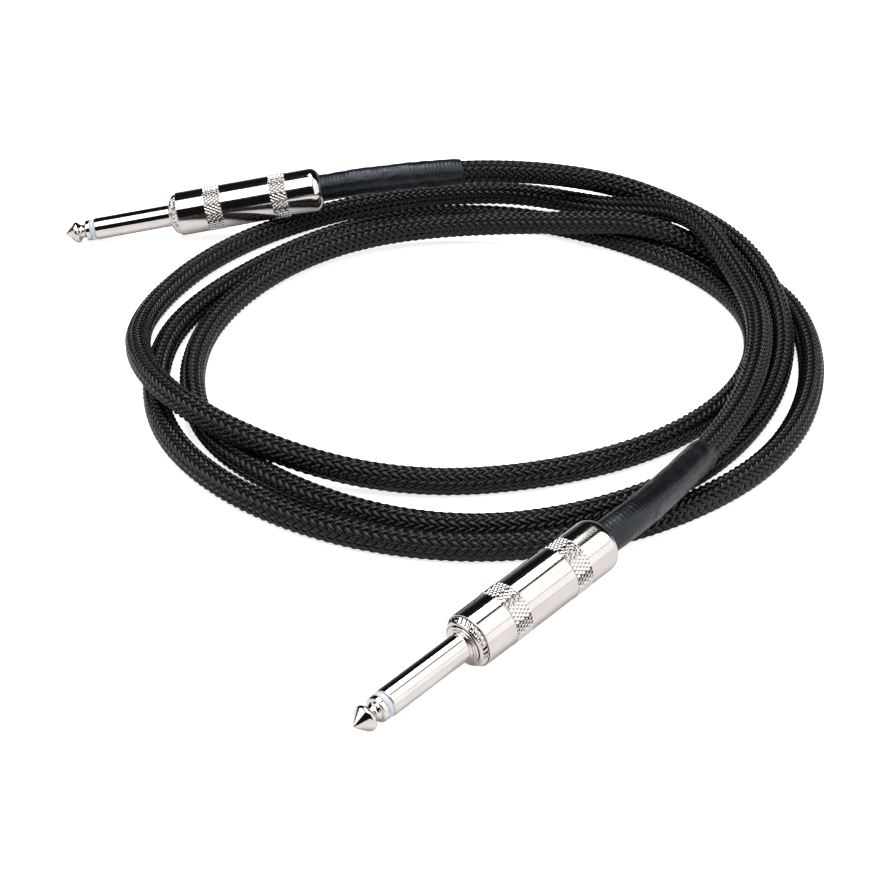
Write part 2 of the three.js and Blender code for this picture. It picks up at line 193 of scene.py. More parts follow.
def noise(t, vector, scale, detail=3.0, rough=0.5, distortion=0.0):
    n = node(t, "ShaderNodeTexNoise")
    n.inputs["Scale"].default_value = scale
    n.inputs["Detail"].default_value = detail
    n.inputs["Roughness"].default_value = rough
    n.inputs["Distortion"].default_value = distortion
    t.links.new(vector, n.inputs["Vector"])
    return n.outputs["Fac"]


def mix_color(t, fac, a, b):
    n = t.nodes.new("ShaderNodeMix")
    n.data_type = "RGBA"
    if isinstance(fac, (int, float)):
        n.inputs["Factor"].default_value = fac
    else:
        t.links.new(fac, n.inputs["Factor"])
    for key, x in (("A", a), ("B", b)):
        sock = [s for s in n.inputs if s.name == key and s.type == "RGBA"][0]
        if isinstance(x, tuple):
            sock.default_value = (*x, 1.0)
        else:
            t.links.new(x, sock)
    return [s for s in n.outputs if s.type == "RGBA"][0]


def bump(t, height, strength, distance, normal=None):
    n = t.nodes.new("ShaderNodeBump")
    n.inputs["Strength"].default_value = strength
    n.inputs["Distance"].default_value = distance
    t.links.new(height, n.inputs["Height"])
    if normal is not None:
        t.links.new(normal, n.inputs["Normal"])
    return n.outputs["Normal"]


def turned_metal(name, color, dark, rough_lo, rough_hi, marks=0.25, grain=0.12):
    """Bright plated metal, turned on a lathe: fine marks round the axis, faint wipes along it, slight tone changes.
    The attribute turned holds (along the axis mm, angle as mm round the edge, radius mm)."""
    m, t, p = new_material(name)
    at = attr(t, "turned")
    wipes = noise(t, scaled(t, at, 0.06, 1.6, 0.3), 1.3, 4.0, 0.55)
    lines = noise(t, scaled(t, at, 9.0, 0.05, 0.4), 1.0, 3.0, 0.6)
    cloud = noise(t, scaled(t, at, 0.25, 0.25, 0.25), 1.0, 3.0, 0.5)
    clean = mix_color(t, remap(t, cloud, 0.35, 0.75), color, dark)
    # painted shade: the base colour is darkened by the relief attribute, the depth into knurl grooves and collar
    # serrations
    groove_painted_shade = tuple(0.72 * x for x in color)
    sep = node(t, "ShaderNodeSeparateXYZ")
    t.links.new(attr(t, "relief"), sep.inputs[0])
    t.links.new(mix_color(t, remap(t, sep.outputs[0], 0.12, 0.85), clean, groove_painted_shade), p.inputs["Base Color"])
    p.inputs["Metallic"].default_value = 1.0
    speckle = noise(t, scaled(t, at, 5.0, 5.0, 1.0), 1.0, 2.0, 0.6)
    r = mathn(t, "ADD", remap(t, wipes, 0.3, 0.8, rough_lo, rough_hi), remap(t, lines, 0.3, 0.7, -0.015, 0.02))
    t.links.new(mathn(t, "MAXIMUM", r, 0.03), p.inputs["Roughness"])
    h = mathn(t, "ADD", mathn(t, "MULTIPLY", lines, marks), mathn(t, "ADD", mathn(t, "MULTIPLY", wipes, 0.35), mathn(t, "MULTIPLY", speckle, grain)))
    t.links.new(bump(t, h, 0.12, 0.00004), p.inputs["Normal"])
    return m


NICKEL = turned_metal("nickel_plate", (0.72, 0.685, 0.665), (0.66, 0.63, 0.61), 0.05, 0.10)
NICKEL_HANDLE = turned_metal("nickel_plate_handle", (0.72, 0.685, 0.665), (0.66, 0.63, 0.61), 0.06, 0.11, 0.18, 0.55)
BRASS = turned_metal("brass_rod", (0.80, 0.62, 0.32), (0.66, 0.48, 0.24), 0.18, 0.3)


def plain_metal(name, color, dark, rough, scale):
    m, t, p = new_material(name)
    co = node(t, "ShaderNodeTexCoord").outputs["Object"]
    n1 = noise(t, co, scale, 4.0, 0.6)
    t.links.new(mix_color(t, remap(t, n1, 0.35, 0.7), color, dark), p.inputs["Base Color"])
    p.inputs["Metallic"].default_value = 1.0
    t.links.new(remap(t, n1, 0.3, 0.7, rough, rough + 0.14), p.inputs["Roughness"])
    t.links.new(bump(t, n1, 0.2, 0.0001), p.inputs["Normal"])
    return m


TINNED = plain_metal("tinned_metal", (0.70, 0.69, 0.66), (0.52, 0.51, 0.49), 0.28, 900.0)
SOLDER = plain_metal("solder", (0.62, 0.63, 0.64), (0.45, 0.46, 0.47), 0.24, 1500.0)
COPPER = plain_metal("copper_strand", (0.78, 0.42, 0.24), (0.5, 0.24, 0.13), 0.3, 2500.0)


def plain_soft(name, color, dark, rough, scale, subsurface=0.0):
    m, t, p = new_material(name)
    co = node(t, "ShaderNodeTexCoord").outputs["Object"]
    n1 = noise(t, co, scale, 5.0, 0.6)
    t.links.new(mix_color(t, remap(t, n1, 0.3, 0.7), color, dark), p.inputs["Base Color"])
    t.links.new(remap(t, n1, 0.3, 0.7, rough, rough + 0.1), p.inputs["Roughness"])
    t.links.new(bump(t, n1, 0.15, 0.00005), p.inputs["Normal"])
    if subsurface:
        p.inputs["Subsurface Weight"].default_value = subsurface
        p.inputs["Subsurface Radius"].default_value = (0.001, 0.001, 0.0012)
    return m


NYLON = plain_soft("pale_nylon", (0.66, 0.71, 0.77), (0.58, 0.63, 0.69), 0.28, 700.0, 0.25)
FIBRE = plain_soft("fibre_board", (0.24, 0.12, 0.06), (0.16, 0.08, 0.04), 0.7, 1800.0)
LINER = plain_soft("liner_card", (0.03, 0.03, 0.032), (0.018, 0.018, 0.02), 0.55, 1200.0)
CORE_WHITE = plain_soft("core_insulation", (0.82, 0.80, 0.74), (0.72, 0.70, 0.64), 0.4, 900.0)
CORE_RUBBER = plain_soft("core_rubber", (0.006, 0.006, 0.0065), (0.004, 0.004, 0.0045), 0.7, 1500.0)


def woven_material():
    """Black yarn. The attribute yarn holds (across the strand -1 to 1, along it in mm, a number of its own)."""
    m, t, p = new_material("woven_black")
    at = attr(t, "yarn")
    sep = node(t, "ShaderNodeSeparateXYZ")
    t.links.new(at, sep.inputs[0])
    across, along, own = sep.outputs[0], sep.outputs[1], sep.outputs[2]
    twist = mathn(t, "ADD", mathn(t, "MULTIPLY", across, 7.5), mathn(t, "MULTIPLY", along, 1.1))
    strands = mathn(t, "ABSOLUTE", mathn(t, "SINE", twist))
    both = node(t, "ShaderNodeCombineXYZ")
    t.links.new(mathn(t, "MULTIPLY", across, 2.5), both.inputs[0])
    t.links.new(mathn(t, "MULTIPLY", along, 0.35), both.inputs[1])
    t.links.new(mathn(t, "MULTIPLY", own, 37.0), both.inputs[2])
    uneven = noise(t, both.outputs[0], 1.6, 3.0, 0.6)
    fuzz = noise(t, scaled(t, node(t, "ShaderNodeTexCoord").outputs["Object"], 1, 1, 1), 5200.0, 2.0, 0.6)
    tone = mathn(t, "ADD", mathn(t, "MULTIPLY", uneven, 0.7), mathn(t, "MULTIPLY", strands, 0.3))
    t.links.new(mix_color(t, remap(t, tone, 0.35, 0.85), (0.0013, 0.0013, 0.0014), (0.0036, 0.0036, 0.0038)), p.inputs["Base Color"])
    rough = mathn(t, "ADD", remap(t, uneven, 0.3, 0.75, 0.15, 0.26), mathn(t, "MULTIPLY", fuzz, 0.05))
    t.links.new(rough, p.inputs["Roughness"])
    p.inputs["Specular IOR Level"].default_value = 0.34
    p.inputs["Sheen Weight"].default_value = 0.0
    p.inputs["Sheen Roughness"].default_value = 0.4
    h = mathn(t, "ADD", mathn(t, "MULTIPLY", strands, 0.8), mathn(t, "MULTIPLY", fuzz, 0.35))
    t.links.new(bump(t, h, 0.35, 0.00006), p.inputs["Normal"])
    return m


WOVEN = woven_material()


def shrink_material():
    """Heat-shrink tubing drawn down over a braid: satin black-blue with the weave showing through as soft cross ripples.
    The attribute tube holds (along it mm, round it mm, radius mm)."""
    m, t, p = new_material("heat_shrink_black")
    at = attr(t, "tube")
    sep = node(t, "ShaderNodeSeparateXYZ")
    t.links.new(at, sep.inputs[0])
    along, round_it = sep.outputs[0], sep.outputs[1]
    a = mathn(t, "SINE", mathn(t, "MULTIPLY", mathn(t, "ADD", along, mathn(t, "MULTIPLY", round_it, 0.6)), 2.77))
    b = mathn(t, "SINE", mathn(t, "MULTIPLY", mathn(t, "SUBTRACT", along, mathn(t, "MULTIPLY", round_it, 0.6)), 2.77))
    weave = mathn(t, "MULTIPLY", a, b)
    cloud = noise(t, scaled(t, at, 0.9, 0.5, 0.2), 1.0, 4.0, 0.6)
    grain = noise(t, scaled(t, at, 3.5, 3.5, 1.0), 1.0, 3.0, 0.55)
    blots = noise(t, scaled(t, at, 0.26, 0.85, 0.3), 1.0, 4.0, 0.6, 0.6)
    t.links.new(mix_color(t, remap(t, cloud, 0.35, 0.7), (0.0028, 0.0031, 0.0040), (0.0052, 0.0058, 0.0072)), p.inputs["Base Color"])
    t.links.new(mathn(t, "ADD", remap(t, blots, 0.36, 0.66, 0.21, 0.38), mathn(t, "MULTIPLY", grain, 0.05)), p.inputs["Roughness"])
    h = mathn(t, "ADD", mathn(t, "MULTIPLY", weave, 0.34), mathn(t, "ADD", mathn(t, "MULTIPLY", grain, 0.35), mathn(t, "MULTIPLY", blots, 1.5)))
    t.links.new(bump(t, h, 0.55, 0.00018), p.inputs["Normal"])
    p.inputs["Specular Tint"].default_value = (0.77, 0.86, 1.0, 1.0)
    return m


SHRINK = shrink_material()


# ------------------------------------------------------------------ the cable's line
def plug_axes(pose):
    y, e = math.radians(pose["yaw"]), math.radians(pose["rise"])
    axis = np.array([math.cos(e) * math.cos(y), math.cos(e) * math.sin(y), math.sin(e)])
    up = np.array([-math.sin(e) * math.cos(y), -math.sin(e) * math.sin(y), math.cos(e)])
    return axis, up, np.cross(axis, up) * -1.0


def clamped_spline(points, first, last):
    """Smooth curve through points with given directions at its ends. Returns a function of the chord parameter."""
    d = np.linalg.norm(np.diff(points, axis=0), axis=1)
    u = np.concatenate([[0], np.cumsum(d)])
    n = len(points)
    a = np.zeros((n, n))
    rhs = np.zeros((n, 3))
    a[0, 0], rhs[0] = 1.0, first
    a[-1, -1], rhs[-1] = 1.0, last
    for i in range(1, n - 1):
        h0, h1 = d[i - 1], d[i]
        a[i, i - 1], a[i, i], a[i, i + 1] = h1, 2 * (h0 + h1), h0
        rhs[i] = 3 * (h1 * (points[i] - points[i - 1]) / h0 + h0 * (points[i + 1] - points[i]) / h1)
    slopes = np.linalg.solve(a, rhs)

    def at(x):
        i = np.clip(np.searchsorted(u, x, side="right") - 1, 0, n - 2)
        h = d[i][:, None]
        s = ((x - u[i]) / d[i])[:, None]
        return ((1 + 2 * s) * (1 - s) ** 2 * points[i] + s * (1 - s) ** 2 * h * slopes[i]
                + s * s * (3 - 2 * s) * points[i + 1] + s * s * (s - 1) * h * slopes[i + 1])

    return u, at


rear_axis = plug_axes(REAR)[0]
front_axis = plug_axes(FRONT)[0]
stations = np.array(ROUTE, float)
# The woven jacket is a little fatter than its plain solid, so the turns that lie on the surface sit that much higher.
stations[:, 2] = np.maximum(stations[:, 2], FLOOR_Z + CORD_R + 0.03)
chord, line_at = clamped_spline(stations, rear_axis, -front_axis)
fine_u = np.linspace(0, chord[-1], 24001)
fine = line_at(fine_u)
fine[:, 2] = np.maximum(fine[:, 2], FLOOR_Z + CORD_R + 0.02)
fine_s = np.concatenate([[0], np.cumsum(np.linalg.norm(np.diff(fine, axis=0), axis=1))])
LENGTH = float(fine_s[-1])
STEP = 0.25
S = np.linspace(0, LENGTH, int(LENGTH / STEP) + 1)
P = np.stack([np.interp(S, fine_s, fine[:, k]) for k in range(3)], 1)
station_s = np.interp(chord, fine_u, fine_s)
T = np.gradient(P, axis=0)
T /= np.linalg.norm(T, axis=1)[:, None]
N = np.zeros_like(T)
start_up = plug_axes(REAR)[1]
v = start_up - T[0] * (start_up @ T[0])
N[0] = v / np.linalg.norm(v)
for i in range(1, len(T)):
    v = N[i - 1] - T[i] * (N[i - 1] @ T[i])
    N[i] = v / np.linalg.norm(v)
B = np.cross(T, N)


def on_line(s, angle, radius):
    """Points in metres at distance s along the cable, round it by angle, off its centre by radius; all in mm and radians."""
    p = np.stack([np.interp(s, S, P[:, k]) for k in range(3)], -1)
    n = np.stack([np.interp(s, S, N[:, k]) for k in range(3)], -1)
    b = np.stack([np.interp(s, S, B[:, k]) for k in range(3)], -1)
    return (p + (np.cos(angle) * radius)[..., None] * n + (np.sin(angle) * radius)[..., None] * b) * MM


# ------------------------------------------------------------------ cable core: the cord itself
CORD_START = 2.0                     # the jacket's cut end inside each plug
core_s = np.linspace(0, LENGTH, 780)
core_p = np.stack([np.interp(core_s, S, P[:, k]) for k in range(3)], 1) * MM
curve = bpy.data.curves.new("cable_core_line", "CURVE")
curve.dimensions = "3D"
spline = curve.splines.new("POLY")
spline.points.add(len(core_p) - 1)
for point, co in zip(spline.points, core_p):
    point.co = (*co, 1.0)
curve.bevel_depth = CORE_R * MM
curve.bevel_resolution = 4
curve.use_fill_caps = True
core = add_object("cable_core_line", curve)
core.data.materials.append(CORE_RUBBER)
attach(core, "cable")
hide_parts("cable_core")

# ------------------------------------------------------------------ woven jacket: a two-over, two-under braid of flat strands
CARRIERS = 12                        # strands each way round
PITCH = 2.27                         # one float to the next along the cable, mm
HALF_WIDTH = 0.655
ACROSS = np.array([-1.0, -0.62, 0.0, 0.62, 1.0])
CROWN = np.array([-0.46, -0.11, 0.0, -0.11, -0.46])
# along one float, in crossings from its middle: height above the cable's centre, and how far the yarn spreads
BEATS = ((-1.48, 2.87, 0.74), (-1.12, 3.10, 0.90), (-0.62, 3.32, 1.05), (0.0, 3.44, 1.10), (0.62, 3.32, 1.05), (1.12, 3.10, 0.90), (1.48, 2.87, 0.74), (2.0, 2.74, 0.66))


def braid_strands():
    """Every strand as its family, number, a number of its own, arrays of angle, distance along, radius and spread per
    sample, the braid angle and the family's sign.
    """
    rng = np.random.default_rng(7)
    unit_z = PITCH / 2.0             # along the cable for one crossing
    unit_a = math.pi / CARRIERS      # round the cable for one crossing
    beta = math.atan2(unit_a * 3.3, unit_z)
    s0, s1 = CORD_START, LENGTH - CORD_START
    out = []
    for way in (1, -1):
        for k in range(CARRIERS):
            own = rng.random()
            # the over-centres fall where the two families' numbers say so
            base = 0.0 if way > 0 else 2.0
            first = int(math.floor(s0 / unit_z / 4)) - 8
            last = int(math.ceil(s1 / unit_z / 4)) + 8
            beats, radii, spread = [], [], []
            for period in (range(first, last) if way > 0 else range(-last, 1 - first)):
                for offset, r, wide in BEATS:
                    beats.append(period * 4 + offset)
                    radii.append(r)
                    spread.append(wide)
            beats = np.array(beats)
            radii = np.array(radii) + rng.normal(0, 0.012, len(radii))
            # strand k of this family: over-centre at lattice position shifted by k
            if way > 0:
                p_coord = beats + 1.0 - k + base      # p along this strand, q = k + 1/2
                q_coord = np.full_like(beats, k + 0.5)
            else:
                q_coord = beats + 1.0 - k + base      # q along this strand, p = k + 1/2
                p_coord = np.full_like(beats, k + 0.5)
            angle = (p_coord + q_coord) / 2.0 * (2 * math.pi / CARRIERS) / 1.0 * 1.0
            along = (p_coord - q_coord) * unit_z
            if way < 0:
                keep_sign = -1.0
            else:
                keep_sign = 1.0
            out.append((way, k, own, angle, along, radii, np.array(spread), beta, keep_sign))
    return out


def build_braid():
    unit_z = PITCH / 2.0
    s0, s1 = CORD_START, LENGTH - CORD_START
    cuts = np.linspace(s0, s1, 5)
    store = [dict(v=[], f=[], y=[], n=0) for _ in range(4)]
    rng = np.random.default_rng(11)
    for way, k, own, angle, along, radii, spread, beta, sign in braid_strands():
        order = np.argsort(along)
        angle, along, radii, spread = angle[order], along[order], radii[order], spread[order]
        lateral = ACROSS[None, :] * HALF_WIDTH * (spread * (1.0 + rng.normal(0, 0.02, len(along))))[:, None]
        ang = angle[:, None] + lateral * math.cos(beta) / 3.3
        alo = along[:, None] - way * lateral * math.sin(beta)
        rad = radii[:, None] + CROWN[None, :]
        path_mm = along / math.cos(beta)
        for c, st in enumerate(store):
            lo, hi = cuts[c], cuts[c + 1]
            inside = np.nonzero((along >= lo) & (along <= hi))[0]
            if len(inside) < 2:
                continue
            a, b = inside[0], inside[-1] + 1
            if c < 3:
                b = min(b + 1, len(along))   # reach the next piece's first sample
            alo_c = np.clip(alo[a:b], s0, s1)
            pts = on_line(alo_c, ang[a:b], rad[a:b])
            yarn = np.stack([np.broadcast_to(ACROSS, alo_c.shape), np.broadcast_to(path_mm[a:b, None], alo_c.shape), np.full(alo_c.shape, own)], -1)
            f = grid_faces(b - a, 5, start=st["n"])
            if way < 0:
                f = f[:, ::-1]
            st["v"].append(pts.reshape(-1, 3))
            st["y"].append(yarn.reshape(-1, 3))
            st["f"].append(f)
            st["n"] += (b - a) * 5
    made = []
    for c, st in enumerate(store):
        o = make_mesh(f"woven_jacket_{'abcd'[c]}", np.concatenate(st["v"]), np.concatenate(st["f"]), {"yarn": np.concatenate(st["y"])})
        o.data.materials.append(WOVEN)
        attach(o, "cable")
        made.append(o)
    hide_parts("woven_jacket")
    return made


braid = build_braid()


# ------------------------------------------------------------------ heat-shrink sleeves
def heat_shrink(name, lo, hi, cut_at_hi):
    """A tube drawn down over the jacket between two distances along the cable; its free end is the one away from the plug."""
    rng = np.random.default_rng(3 if cut_at_hi else 5)
    sides = 72
    steps = int((hi - lo) / 0.45)
    s = np.linspace(lo, hi, steps)
    turn = np.linspace(0, 2 * math.pi, sides, endpoint=False)
    # the pattern's seam lies along the underside
    under = on_line(np.full(sides, (lo + hi) / 2), turn, np.full(sides, 4.0))
    angle = turn + turn[int(np.argmin(under[:, 2]))]
    free = (hi - s) if cut_at_hi else (s - lo)          # distance from the free end
    base = 3.98 - 0.14 * np.exp(-free / 1.6)            # the free end hugs the jacket
    waves = np.zeros((steps, sides))
    for _ in range(26):                                  # soft hollows and ridges
        f_s, f_a = rng.uniform(0.25, 1.5), rng.integers(0, 5)
        waves += rng.normal(0, 0.0085) * np.sin(s[:, None] * f_s + rng.uniform(0, 6.28) + f_a * angle[None, :])
    tilt = math.pi * 2 / PITCH
    lattice = np.sin(s[:, None] * tilt / 1.0 + 6 * angle[None, :]) * np.sin(s[:, None] * tilt - 6 * angle[None, :])
    r = base[:, None] + waves + 0.018 * lattice
    edge_in = np.full((1, sides), 3.50)
    outer = on_line(np.repeat(s[:, None], sides, 1), np.repeat(angle[None, :], steps, 0), r)
    # the cut ends: rounded lip, then the wall back inside
    end_s = s[-1] if cut_at_hi else s[0]
    out_dir = 1.0 if cut_at_hi else -1.0
    rings = []
    for ds, dr in ((0.10, -0.10), (0.12, -0.26), (0.04, -0.36)):
        rr = (r[-1] if cut_at_hi else r[0]) + dr
        rings.append(on_line(np.full(sides, end_s + out_dir * ds), angle, rr))
    # the inside wall follows the cable back in short steps, so it stays inside the outer one on the bends
    inside = np.linspace(hi - 0.5, lo, 48) if cut_at_hi else np.linspace(lo + 0.5, hi, 48)
    for at in inside:
        rings.append(on_line(np.full(sides, at), angle, np.full(sides, 3.52)))
    if cut_at_hi:
        stack = [outer] + [x[None] for x in rings]
        along = np.concatenate([s, [hi, hi + 0.1, hi], inside])
    else:
        stack = [outer[::-1]] + [x[None] for x in rings]
        along = np.concatenate([s[::-1], [lo, lo - 0.1, lo], inside])
    pts = np.concatenate(stack)
    tube = np.stack([np.repeat(along[:, None], sides, 1), np.repeat(turn[None, :] * 3.9, len(along), 0), np.full((len(along), sides), 3.9)], -1)
    rows = len(along)
    f = grid_faces(rows, sides, wrap=True)
    last = grid_faces(2, sides, wrap=True)               # join the last ring to the first row
    top = np.where(last >= sides, last - sides, last + (rows - 1) * sides)
    f = np.concatenate([f, top])
    if not cut_at_hi:
        f = f[:, ::-1]
    o = make_mesh(name, pts.reshape(-1, 3), f, {"tube": tube.reshape(-1, 3)})
    o.data.materials.append(SHRINK)
    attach(o, "cable")
    return o


lo_st, rear_st, front_st = SHRINK_STATIONS
rear_shrink = heat_shrink("rear_heat_shrink_sleeve", station_s[lo_st], station_s[rear_st], True)
front_shrink = heat_shrink("front_heat_shrink_sleeve", station_s[len(station_s) - 1 - front_st], station_s[len(station_s) - 1 - lo_st], False)
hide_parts("rear_heat_shrink")
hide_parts("front_heat_shrink")


# ------------------------------------------------------------------ plugs
def rounded(points):
    """A profile of (s, r, bevel) corners, with each bevelled corner turned into a short arc."""
    pts = [np.array(p[:2], float) for p in points]
    out = []
    for i, p in enumerate(points):
        b = p[2] if len(p) > 2 else 0.0
        if b <= 0 or i in (0, len(points) - 1):
            out.append(pts[i])
            continue
        back, ahead = pts[i - 1] - pts[i], pts[i + 1] - pts[i]
        la, lb = np.linalg.norm(back), np.linalg.norm(ahead)
        d = min(b, la * 0.49, lb * 0.49)
        p0, p2 = pts[i] + back / la * d, pts[i] + ahead / lb * d
        k = 5 if b >= 0.4 else 3
        for j in range(k + 1):
            u = j / k
            out.append((1 - u) ** 2 * p0 + 2 * u * (1 - u) * pts[i] + u * u * p2)
    return np.array(out)


def supported(prof):
    """The same profile with extra points close to both ends of every long straight, so that the straights shade flat."""
    out = [prof[0]]
    for p, q in zip(prof[:-1], prof[1:]):
        d = np.linalg.norm(q - p)
        if d > 0.4:
            out += [p + (q - p) * 0.05 / d, q - (q - p) * 0.05 / d]
        out.append(q)
    return np.array(out)


class Plug:
    def __init__(self, side, pose):
        self.side = side
        self.tip = np.array(pose["tip"], float)
        self.axis, self.up, _ = plug_axes(pose)
        self.side_dir = np.cross(self.axis, self.up)

    def world(self, s, angle, r):
        s, angle, r = np.broadcast_arrays(np.asarray(s, float), np.asarray(angle, float), np.asarray(r, float))
        return (self.tip + s[..., None] * self.axis + (r * np.cos(angle))[..., None] * self.up
                + (r * np.sin(angle))[..., None] * self.side_dir) * MM

    def finish(self, name, parts, material, body, node_name, sharp=32.0):
        """parts are (s, angle, r, faces) with arrays of points; joined into one mesh."""
        verts, faces, at, n = [], [], [], 0
        relief = []
        for s, a, r, f, *more in parts:
            s, a, r = np.broadcast_arrays(np.asarray(s, float), np.asarray(a, float), np.asarray(r, float))
            # an optional fifth array is depth into a groove, stored as relief; turned_metal darkens the base colour by
            # it as painted shade
            depth = np.asarray(more[0], float) if more else np.zeros(s.shape)
            relief.append(np.stack([depth, depth, depth], -1).reshape(-1, 3))
            verts.append(self.world(s, a, r).reshape(-1, 3))
            at.append(np.stack([s, a * 6.4, r], -1).reshape(-1, 3))
            for g in (f if isinstance(f, list) else [f]):
                faces.append(np.asarray(g) + n)
            n += s.size
        quads = [g for g in faces if g.shape[1] == 4]
        tris = [g for g in faces if g.shape[1] == 3]
        groups = ([np.concatenate(quads)] if quads else []) + ([np.concatenate(tris)] if tris else [])
        o = make_mesh(f"{self.side}_{name}", np.concatenate(verts), groups, {"turned": np.concatenate(at), "relief": np.concatenate(relief)}, sharp)
        o.data.materials.append(material)
        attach(o, body)
        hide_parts(f"{self.side}_{node_name}")
        return o

    def lathe(self, points, sides=96, closed=False):
        prof = rounded(points)
        if closed:
            prof = np.vstack([prof, prof[:1]])
        prof = supported(prof)
        a = np.linspace(0, 2 * math.pi, sides, endpoint=False)
        # a profile that starts or ends on the axis gets a fan there
        start_axis, end_axis = prof[0, 1] < 1e-6, prof[-1, 1] < 1e-6
        body = prof[1 if start_axis else 0: len(prof) - (1 if end_axis else 0)]
        if closed:
            body = body[:-1]
        rows = len(body)
        s = np.repeat(body[:, :1], sides, 1).ravel()
        r = np.repeat(body[:, 1:2], sides, 1).ravel()
        ang = np.tile(a, rows)
        f = grid_faces(rows, sides, wrap=True)[:, ::-1]
        groups = [f]
        if closed:
            last = grid_faces(2, sides, wrap=True)
            groups.append(np.where(last >= sides, last - sides, last + (rows - 1) * sides)[:, ::-1])
        tri = []
        j = np.arange(sides)
        k = (j + 1) % sides
        extra_s, extra_r, extra_a = [], [], []
        n = rows * sides
        if start_axis:
            tri.append(np.stack([np.full(sides, n), k, j], 1)[:, ::-1])
            extra_s.append(prof[0, 0]); extra_r.append(0.0); extra_a.append(0.0)
            n += 1
        if end_axis:
            b = (rows - 1) * sides
            tri.append(np.stack([np.full(sides, n), b + j, b + k], 1)[:, ::-1])
            extra_s.append(prof[-1, 0]); extra_r.append(0.0); extra_a.append(0.0)
        s = np.concatenate([s, extra_s]); r = np.concatenate([r, extra_r]); ang = np.concatenate([ang, extra_a])
        return s, ang, r, groups + tri


HANDLE_START, HANDLE_END, HANDLE_R = 34.1, 76.8, 6.38
KNURLS = ((42.5, 47.3), (62.0, 66.8))
KNURL_TOP, KNURL_BASE = 6.47, 6.29


def knurl_part(s0, s1, around=42, rows=6):
    """A band of blunt diamonds between crossed grooves."""
    h = (s1 - s0) / rows
    da = math.pi / around
    vs, va, vr, quads, tris = [], [], [], [], []

    def put(s, a, r):
        vs.append(s); va.append(a); vr.append(r)
        return len(vs) - 1

    corner = {}

    def low(i, j):
        key = (i, j % (2 * around))
        if key not in corner:
            corner[key] = put(s0 + i * h, key[1] * da, KNURL_BASE)
        return corner[key]

    k = 0.44
    for i in range(0, rows + 1):
        for j in range(0, 2 * around):
            if (i + j) % 2:
                continue
            s, a = s0 + i * h, j * da
            if 0 < i < rows:
                lows = [low(i - 1, j), low(i, j + 1), low(i + 1, j), low(i, j - 1)]
                tops = [put(s - k * h, a, KNURL_TOP), put(s, a + k * da, KNURL_TOP), put(s + k * h, a, KNURL_TOP), put(s, a - k * da, KNURL_TOP)]
                for x in range(4):
                    y = (x + 1) % 4
                    quads.append((lows[x], lows[y], tops[y], tops[x]))
                quads.append(tuple(tops))
            else:
                d = 1 if i == 0 else -1
                lows = [low(i, j - 1), low(i + d, j), low(i, j + 1)]
                tops = [put(s, a - k * da, KNURL_TOP), put(s + d * k * h, a, KNURL_TOP), put(s, a + k * da, KNURL_TOP)]
                new = [(lows[0], lows[1], tops[1], tops[0]), (lows[1], lows[2], tops[2], tops[1]), (lows[2], lows[0], tops[0], tops[2])]
                flat = [(tops[0], tops[1], tops[2])]
                if d > 0:
                    new = [q[::-1] for q in new]
                    flat = [q[::-1] for q in flat]
                quads += new
                tris += flat
    vr = np.array(vr)
    # the last array is depth into the grooves, used for painted shade in them
    return np.array(vs), np.array(va), vr, [np.array(quads), np.array(tris)], np.clip((KNURL_TOP - vr) / (KNURL_TOP - KNURL_BASE), 0, 1)


